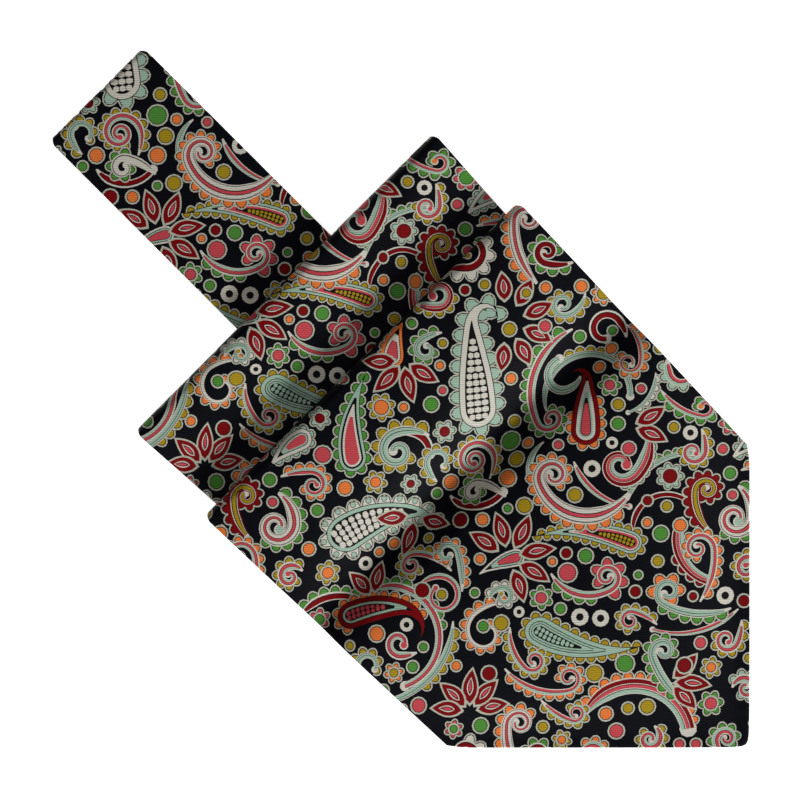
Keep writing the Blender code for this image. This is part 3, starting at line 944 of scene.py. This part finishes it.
def cloth_piece(name, places, normals, triangles, inks, flat):
    """A mesh of printed cloth, with its ink, its flat measures and its picture place."""
    data = bpy.data.meshes.new(name)
    data.vertices.add(len(places))
    data.vertices.foreach_set("co", places.ravel())
    data.loops.add(triangles.size)
    data.loops.foreach_set("vertex_index", triangles.ravel().astype(np.int32))
    data.polygons.add(len(triangles))
    data.polygons.foreach_set("loop_start", np.arange(0, triangles.size, 3, dtype=np.int32))
    data.update(calc_edges=True)
    colours = np.array([(*INKS[ink], 1.0) for ink in inks])
    layer = data.attributes.new("ink", "FLOAT_COLOR", "CORNER")
    layer.data.foreach_set("color", np.repeat(colours, 3, axis=0).ravel())
    cloth = data.attributes.new("cloth", "FLOAT_VECTOR", "POINT")
    cloth.data.foreach_set("vector", np.concatenate([flat, np.zeros((len(flat), 1))], 1).ravel())
    size = (flat.max(0) - flat.min(0)).max()
    picture = 0.01 + 0.98 * (flat - flat.min(0)) / size
    data.uv_layers.new(name="OFBake").uv.foreach_set("vector", picture[triangles.ravel()].ravel())
    data.shade_smooth()
    if normals is not None:
        data.normals_split_custom_set_from_vertices(normals.tolist())
    data.materials.append(silk)
    data.validate()
    piece = bpy.data.objects.new(name, data)
    scene.collection.objects.link(piece)
    return piece


def rim_of(triangles):
    """The points round the edge of a sheet of triangles, in order."""
    edges = np.concatenate([triangles[:, [0, 1]], triangles[:, [1, 2]], triangles[:, [2, 0]]])
    both = {tuple(edge) for edge in edges.tolist()}
    onward = {first: second for first, second in both if (second, first) not in both}
    loop = [next(iter(onward))]
    while onward[loop[-1]] != loop[0]:
        loop.append(onward[loop[-1]])
    return loop


def lined_with(seam, places, rows, first):
    """A plain sheet that closes a seam: its loose points and their distance from the seam, its
    triangles, numbered with the seam's own points and from the first free number, and its ink."""
    inner, faces, plain, distance = cut_and_print(places, rows, [])
    shared = distance < 1e-4
    gaps = np.linalg.norm(inner[shared][:, None] - places[None], axis=2)
    turn = np.empty(len(inner), int)
    turn[shared] = np.array(seam)[gaps.argmin(1)]
    turn[~shared] = first + np.arange((~shared).sum())
    return inner[~shared], distance[~shared], turn[faces], plain


def sewn_panel(name, panel, rows, shift):
    """Two layers of silk sewn edge to edge: the outer and the inner face, meeting in a round edge."""
    outline = panel.outline()
    patches = print_on(outline.min(0), outline.max(0), shift)
    outer, outer_faces, inks, distance = cut_and_print(outline, rows, patches)
    seam = rim_of(outer_faces)
    inner, inner_distance, inner_faces, plain = lined_with(seam, outer[seam], rows, len(outer))
    sides = [(outer, distance, 1.0), (inner, inner_distance, -1.0)]
    points, facing = [], []
    for flat, from_edge, way in sides:
        normals = panel.facing(*flat.T) * way
        rim = np.clip(1.0 - from_edge / (PLY / 2), 0.0, 1.0)
        half = PLY / 2 * np.sqrt(1.0 - rim**2) * MM * (from_edge > 1e-4)
        points.append(panel.lay(*flat.T) + normals * half[:, None])
        facing.append(np.where((from_edge < 0.7)[:, None], 0.0, normals))
    faces = np.concatenate([outer_faces[:, ::-1], inner_faces])
    points, facing, flat = (np.concatenate(sides) for sides in (points, facing, (outer, inner)))
    return cloth_piece(name, points, facing, faces, inks + plain, flat), outline


def flat_size(outline):
    """Width, length and area of a flat cut, in metres."""
    width, length = (outline.max(0) - outline.min(0)) * MM
    return (width, length), abs(area_of(outline)) * MM**2


TURN_REACH = 9.0
TURN_ROW = 0.5
CLOSE_ROW = 1.1


def fold_rows(low, high, *close):
    """Rows of loose points along a panel, closer where the cloth bends."""
    rows = list(np.arange(low, high, GRID)) + list(np.arange(-TURN_REACH, TURN_REACH, TURN_ROW))
    for first, last in close:
        rows += list(np.arange(first, last, CLOSE_ROW))
    return rows


def band_half_width(s):
    return BAND_WIDTH / 2 - rounded_corner(s)


def band_section(share):
    def low(s):
        return PLY / 2 + 0.0 * s

    def high(s):
        return PLY / 2 + BAND_LOOP + 0.0 * s

    return section(0.0, BAND_END, BAND_END, low, high, BAND_LOOP / 2)


band = Panel(band_section, band_half_width)
neckband, band_cut = sewn_panel("neckband_cloth", band, fold_rows(-174, 174), (163.8, 153.8))
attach(neckband, "root")
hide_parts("neckband")
size, area = flat_size(band_cut)


# The under blade: one wide end of the scarf, cut and made as the neckband is. It lies over the
# neckband and is turned over on itself, and sinks from its fold to the neckband's thickness.
CLEARANCE = 0.3
CROWN_POWER = 2.2
BAND_TOP = PLY + BAND_LOOP
LIFT_FULL = 26.0
LIFT_FOOT = 42.0
UNDER_FOLD = 96.2
UNDER_FOLD_WIDTH = 152.4
UNDER_TAPER = 0.11
UNDER_END = 174.5

Height = namedtuple("Height", "s middle side")
UNDER_HEIGHTS = (
    Height(96.0, 10.0, 6.7),
    Height(100.0, 10.3, 6.9),
    Height(105.5, 9.9, 6.5),
    Height(111.5, 8.6, 5.2),
    Height(118.0, 7.3, 3.9),
    Height(125.0, 6.7, 3.3),
    Height(135.0, 6.5, 3.1),
    Height(150.0, 6.5, 3.1),
    Height(175.0, 6.5, 3.1),
)


def read_curve(table, at, column):
    """A smooth curve through one column of a table, read at values of its first column."""
    keys = np.array([row[0] for row in table])
    values = np.array([getattr(row, column) for row in table])
    last = len(keys) - 1
    at = np.clip(at, keys[0], keys[-1])
    k = np.clip(np.searchsorted(keys, at, side="right") - 1, 0, last - 1)
    before, after = np.maximum(np.arange(last + 1) - 1, 0), np.minimum(np.arange(last + 1) + 1, last)
    slope = (values[after] - values[before]) / (keys[after] - keys[before])
    step = keys[k + 1] - keys[k]
    t = (at - keys[k]) / step
    return (
        (2 * t**3 - 3 * t**2 + 1) * values[k]
        + (t**3 - 2 * t**2 + t) * step * slope[k]
        + (3 * t**2 - 2 * t**3) * values[k + 1]
        + (t**3 - t**2) * step * slope[k + 1]
    )


def between(middle, side, share):
    return side + (middle - side) * (1.0 - np.minimum(1.0, np.abs(share)) ** CROWN_POWER)


def under_half_width(s):
    width = UNDER_FOLD_WIDTH - UNDER_TAPER * np.maximum(0.0, s - UNDER_FOLD)
    return width / 2 - rounded_corner(s - UNDER_FOLD)


def under_upper(s, share):
    middle, side = (read_curve(UNDER_HEIGHTS, s, column) for column in ("middle", "side"))
    return between(middle, side, share)


def under_section(share):
    def low(s):
        x = np.abs(share * under_half_width(s))
        lifted = (BAND_TOP + CLEARANCE) * (1.0 - smooth_step(x, LIFT_FULL, LIFT_FOOT))
        return PLY / 2 + lifted

    def high(s):
        return under_upper(s, share) - PLY / 2

    return section(UNDER_FOLD, UNDER_END, UNDER_END, low, high)


under = Panel(under_section, under_half_width)
under_blade, under_cut = sewn_panel(
    "under_blade_cloth", under, fold_rows(-78, 82, (9.0, 30.0)), (199.35, 191.85)
)
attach(under_blade, "root")
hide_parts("under_blade")
size, area = flat_size(under_cut)


# The top blade: the scarf's other wide end, with its right-angled point. It is turned over on
# itself, sinks into a soft trough past the fold, and drapes from there down to the table.
TOP_FOLD = 135.5
TOP_FOLD_WIDTH = 160.0
TOP_TAPER = 0.051
TOP_RETURN_END = 173.5
TIP = 334.3
TIP_ROUNDING = 1.8
SHOULDER = 257.4
SHOULDER_ROUNDED_FROM = 0.93
SHOULDER_ROUNDING = 1.3
DRAPE_START = 205.0
TOP_HEIGHTS = (
    Height(135.0, 14.6, 10.6),
    Height(139.5, 15.0, 10.8),
    Height(149.0, 14.9, 10.7),
    Height(159.0, 13.9, 9.8),
    Height(168.0, 12.2, 8.5),
    Height(174.0, 10.5, 7.4),
    Height(179.5, 8.4, 6.1),
    Height(184.5, 6.4, 4.8),
    Height(189.0, 5.1, 3.9),
    Height(193.0, 5.3, 4.0),
    Height(197.0, 7.7, 5.7),
    Height(201.0, 10.9, 7.9),
    Height(205.0, 12.8, 9.1),
    Height(212.0, 13.6, 9.4),
)
Drape = namedtuple("Drape", "share middle side")
TOP_DRAPE = (
    Drape(0.0, 12.8, 9.1),
    Drape(0.08, 13.6, 9.3),
    Drape(0.2, 13.3, 8.6),
    Drape(0.42, 11.3, 6.4),
    Drape(0.65, 7.9, 4.2),
    Drape(0.83, 3.9, 2.2),
    Drape(0.94, 1.6, 1.3),
    Drape(1.0, 1.2, 1.2),
)


def top_half_width(s):
    width = TOP_FOLD_WIDTH - TOP_TAPER * np.maximum(0.0, np.minimum(s, SHOULDER) - TOP_FOLD)
    return width / 2 - rounded_corner(s - TOP_FOLD)


def point_edge(share):
    """Where the pointed end's edge lies: a right angle at the tip, rounded at the shoulders."""
    x = share * top_half_width(SHOULDER)
    past = np.maximum(0.0, np.abs(share) - SHOULDER_ROUNDED_FROM) / (1.0 - SHOULDER_ROUNDED_FROM)
    return TIP - np.hypot(x, TIP_ROUNDING) - SHOULDER_ROUNDING * past**2


def top_upper(s, share):
    """The top blade's upper face, from its fold to the pointed end's edge."""
    part = (s - DRAPE_START) / (point_edge(share) - DRAPE_START)
    near = [read_curve(TOP_HEIGHTS, s, column) for column in ("middle", "side")]
    far = [read_curve(TOP_DRAPE, part, column) for column in ("middle", "side")]
    return np.where(s <= DRAPE_START, between(*near, share), between(*far, share))


def top_section(share):
    def low(s):
        x = share * top_half_width(s)
        return under_upper(s, x / under_half_width(s)) + CLEARANCE + PLY / 2

    def high(s):
        return top_upper(s, share) - PLY / 2

    return section(TOP_FOLD, TOP_RETURN_END, float(point_edge(share)), low, high)


top = Panel(top_section, top_half_width)
top_blade, top_cut = sewn_panel(
    "top_blade_cloth", top, fold_rows(-38, 204, (30.0, 84.0)), (129.6, 129.6)
)
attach(top_blade, "root")
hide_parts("top_blade")
size, area = flat_size(top_cut)


# The layers folded away: what is left of both blades and of the neckband, folded in three plies
# under the top blade. They hold its drape up and lie flat on the table, their printed face down.
HIDDEN_START = 175.5
HIDDEN_SIDE = 0.92
HIDDEN_REACH = 0.75
HIDDEN_PLIES = 3
HIDDEN_CLEARANCE = 0.45
HIDDEN_COLUMNS = 47
PLY_GROOVE = 0.9
RING_STEP = 1.2
CORNER_STEPS = 3
SIDE_STEPS = np.linspace(0.0, 1.0, 22)


def under_the_top(x, s):
    """The height of the folded layers below the top blade, in mm."""
    share = x / top_half_width(s)
    rise = (top_upper(s + 1.0, share) - top_upper(s - 1.0, share)) / 2.0
    return top_upper(s, share) - PLY / 2 - (PLY / 2 + HIDDEN_CLEARANCE) * np.hypot(1.0, rise)


def hidden_outline():
    """The folded layers' outline from below, with rounded corners."""
    shares = np.linspace(-HIDDEN_SIDE, HIDDEN_SIDE, HIDDEN_COLUMNS)
    ends = DRAPE_START + HIDDEN_REACH * (point_edge(shares) - DRAPE_START)
    s = np.arange(HIDDEN_START, ends[0], 1.0)[1:]
    near = np.stack([shares * top_half_width(HIDDEN_START), 0.0 * shares + HIDDEN_START], 1)
    far = np.stack([shares * top_half_width(ends), ends], 1)
    side = np.stack([HIDDEN_SIDE * top_half_width(s), s], 1)
    ring = np.concatenate([near, side, far[::-1], (side * (-1.0, 1.0))[::-1]])
    ring = ring[::-1] * (1.0, -1.0)
    closed = np.concatenate([ring, ring[:1]])
    along = lengths(closed)
    even = read_at(np.arange(0.0, along[-1] - RING_STEP / 2, RING_STEP), along, closed)
    ring = np.mean([np.roll(even, k, 0) for k in range(-CORNER_STEPS, CORNER_STEPS + 1)], 0)
    return ring if area_of(ring) > 0.0 else ring[::-1]


def ply_groove(part):
    """How far the side draws in at this part of its height, between its rounded plies."""
    return PLY_GROOVE * np.abs(2.0 * (part * HIDDEN_PLIES % 1.0) - 1.0) ** 4


def nearest_on(ring, points):
    """Which side of a ring is nearest to each point, and how far along that side."""
    side, along = np.zeros(len(points), int), np.zeros(len(points))
    gap = np.full(len(points), math.inf)
    for k, (start, end) in enumerate(zip(ring, np.roll(ring, -1, 0))):
        way = end - start
        share = np.clip((points - start) @ way / (way @ way), 0.0, 1.0)
        distance = np.linalg.norm(points - start - share[:, None] * way, axis=1)
        closer = distance < gap
        side[closer], along[closer], gap[closer] = k, share[closer], distance[closer]
    return side, along[:, None]


def side_lengths(height):
    """How far the cloth runs up the side, ply by ply, at each of its parts."""
    part = np.linspace(0.0, 1.0, 61)
    steps = np.hypot(np.diff(ply_groove(part)), np.outer(height, np.diff(part)))
    return part, np.concatenate([np.zeros((len(steps), 1)), np.cumsum(steps, 1)], 1)


bottom = drawn_in(hidden_outline(), PLY_GROOVE)
outwards = bottom - drawn_in(bottom, 1.0)
_, run = side_lengths(under_the_top(bottom[:, 0], -bottom[:, 1]))
wraps = [bottom + outwards * (run[:, -1:] * step) for step in SIDE_STEPS]
hidden_rows = list(np.arange(wraps[-1][:, 1].min(), wraps[-1][:, 1].max(), GRID))
flat, faces, inks, distance = cut_and_print(
    wraps[-1], hidden_rows, print_on(wraps[-1].min(0), wraps[-1].max(0), (60.0, 40.0)), wraps[-2::-1]
)
up = np.nonzero(~inside(flat, bottom))[0]
top_rim = distance[up] < 1e-4
side, along = nearest_on(bottom, flat[up])
side[top_rim], along[top_rim] = nearest_on(wraps[-1], flat[up][top_rim])
place = bottom[side] * (1.0 - along) + np.roll(bottom, -1, 0)[side] * along
reached = np.linalg.norm(flat[up] - place, axis=1)
height = under_the_top(place[:, 0], -place[:, 1])
part, run = side_lengths(height)
climbed = np.where(top_rim, run[:, -1], np.minimum(reached, run[:, -1]))
risen = np.array([np.interp(c, line, part) for c, line in zip(climbed, run)])
away = (flat[up] - place) / np.maximum(reached, 1e-9)[:, None]
x, y = flat.T.copy()
x[up], y[up] = (place + away * (PLY_GROOVE - ply_groove(risen))[:, None]).T
seam = rim_of(faces)
above, _, above_faces, plain = lined_with(seam, np.stack([x, y], 1)[seam], hidden_rows, len(flat))
x, y = np.concatenate([x, above[:, 0]]), np.concatenate([y, above[:, 1]])
z = np.zeros(len(x))
z[up], z[len(flat) :] = risen * height, under_the_top(above[:, 0], -above[:, 1])
hidden = cloth_piece(
    "hidden_layers_cloth", np.stack([x, SPAN / 2 + y, z], 1) * MM, None,
    np.concatenate([faces[:, ::-1], above_faces]), inks + plain, np.concatenate([flat, above])
)
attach(hidden, "root")
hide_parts("hidden_layers")
size, area = flat_size(wraps[-1])


# The table: a plain pale surface, lit by a long soft lamp low beyond the point, which shades the
# far side of every fold, and by weaker light from the other sides.
TABLE_REACH = 1.6
TABLE_BELOW = 0.2 * MM
TABLE_GLOW = 0.85
ROOM_LIGHT = 0.10

floor_data = bpy.data.meshes.new("floor")
corners = [(x * TABLE_REACH, y * TABLE_REACH, 0) for x, y in ((-1, -1), (1, -1), (1, 1), (-1, 1))]
floor_data.from_pydata(corners, [], [(0, 1, 2, 3)])
floor = bpy.data.objects.new("floor", floor_data)
floor.location.z = -TABLE_BELOW
scene.collection.objects.link(floor)
paper = bpy.data.materials.new("white_paper")
paper.use_nodes = True
for socket, value in (
    ("Base Color", (0.93, 0.93, 0.93, 1.0)), ("Roughness", 0.9),
    ("Emission Color", (1.0, 1.0, 1.0, 1.0)), ("Emission Strength", TABLE_GLOW),
):
    paper.node_tree.nodes["Principled BSDF"].inputs[socket].default_value = value
floor_data.materials.append(paper)

Lamp = namedtuple("Lamp", "name bearing height distance wide tall watts")
LAMPS = (
    Lamp("key", 0.0, 26.0, 3.0, 3.2, 0.56, 114.0),
    Lamp("fill_left", 85.0, 48.0, 1.5, 1.0, 0.8, 3.0),
    Lamp("fill_right", -85.0, 48.0, 1.5, 1.0, 0.8, 3.0),
)
for lamp in LAMPS:
    light = bpy.data.lights.new(lamp.name, "AREA")
    light.shape = "RECTANGLE"
    light.size, light.size_y = lamp.wide, lamp.tall
    light.energy = lamp.watts
    holder = bpy.data.objects.new(lamp.name, light)
    bearing, height = math.radians(lamp.bearing), math.radians(lamp.height)
    holder.location = (
        lamp.distance * math.cos(height) * math.sin(bearing),
        -lamp.distance * math.cos(height) * math.cos(bearing),
        lamp.distance * math.sin(height),
    )
    holder.rotation_euler = (math.pi / 2 - height, 0.0, bearing)
    scene.collection.objects.link(holder)

world = bpy.data.worlds.new("studio")
world.use_nodes = True
background = world.node_tree.nodes["Background"]
background.inputs["Color"].default_value = (1.0, 1.0, 1.0, 1.0)
background.inputs["Strength"].default_value = ROOM_LIGHT
scene.world = world
scene.view_settings.view_transform = "Standard"
